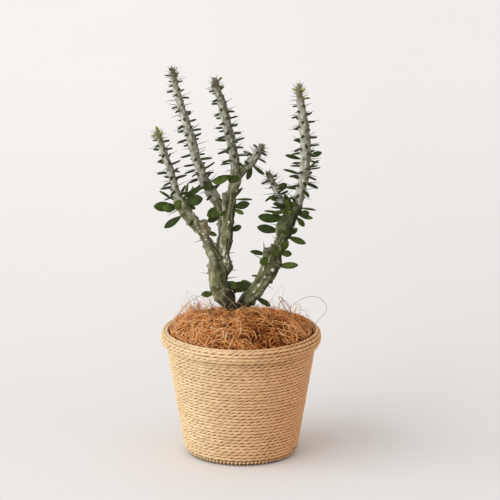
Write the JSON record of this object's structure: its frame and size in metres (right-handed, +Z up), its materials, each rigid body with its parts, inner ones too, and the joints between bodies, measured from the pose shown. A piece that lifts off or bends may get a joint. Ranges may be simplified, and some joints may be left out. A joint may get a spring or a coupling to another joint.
{
  "type": "potted alluaudia",
  "caption": "Branched woody succulent with upright leafy, spiny shoots, in a nursery pot under coconut fibre, inside a tapered basket of twisted paper cord with a rolled rim.",
  "frame": {"origin": "middle of the basket's flat underside", "axes": "+Z up the plant, -Y towards the front, +X to the viewer's right"},
  "size_m": [0.2176, 0.2004, 0.4935],
  "materials": {
    "cord": "matt twisted paper cord",
    "shell": "plain brown moulding",
    "nursery_plastic": "thin black nursery plastic",
    "soil": "dark bark and peat mix",
    "coir": "curled orange-brown coconut fibre",
    "bark": "grey-green bark with pale specks",
    "leafy_shoot": "grey-green stem with fleshy green leaves"
  },
  "bodies": {
    "root": {"basket_shell": "shell", "rope_wall": "cord", "rope_rim": "cord", "nursery_pot": "nursery_plastic", "soil": "soil", "coir_mat": "coir", "trunk": "bark", "shoot_far_left": "leafy_shoot", "shoot_tall_left": "leafy_shoot", "shoot_middle": "leafy_shoot", "shoot_short_right": "leafy_shoot", "shoot_tall_right": "leafy_shoot", "shoot_small_right": "leafy_shoot"}
  },
  "joints": []
}
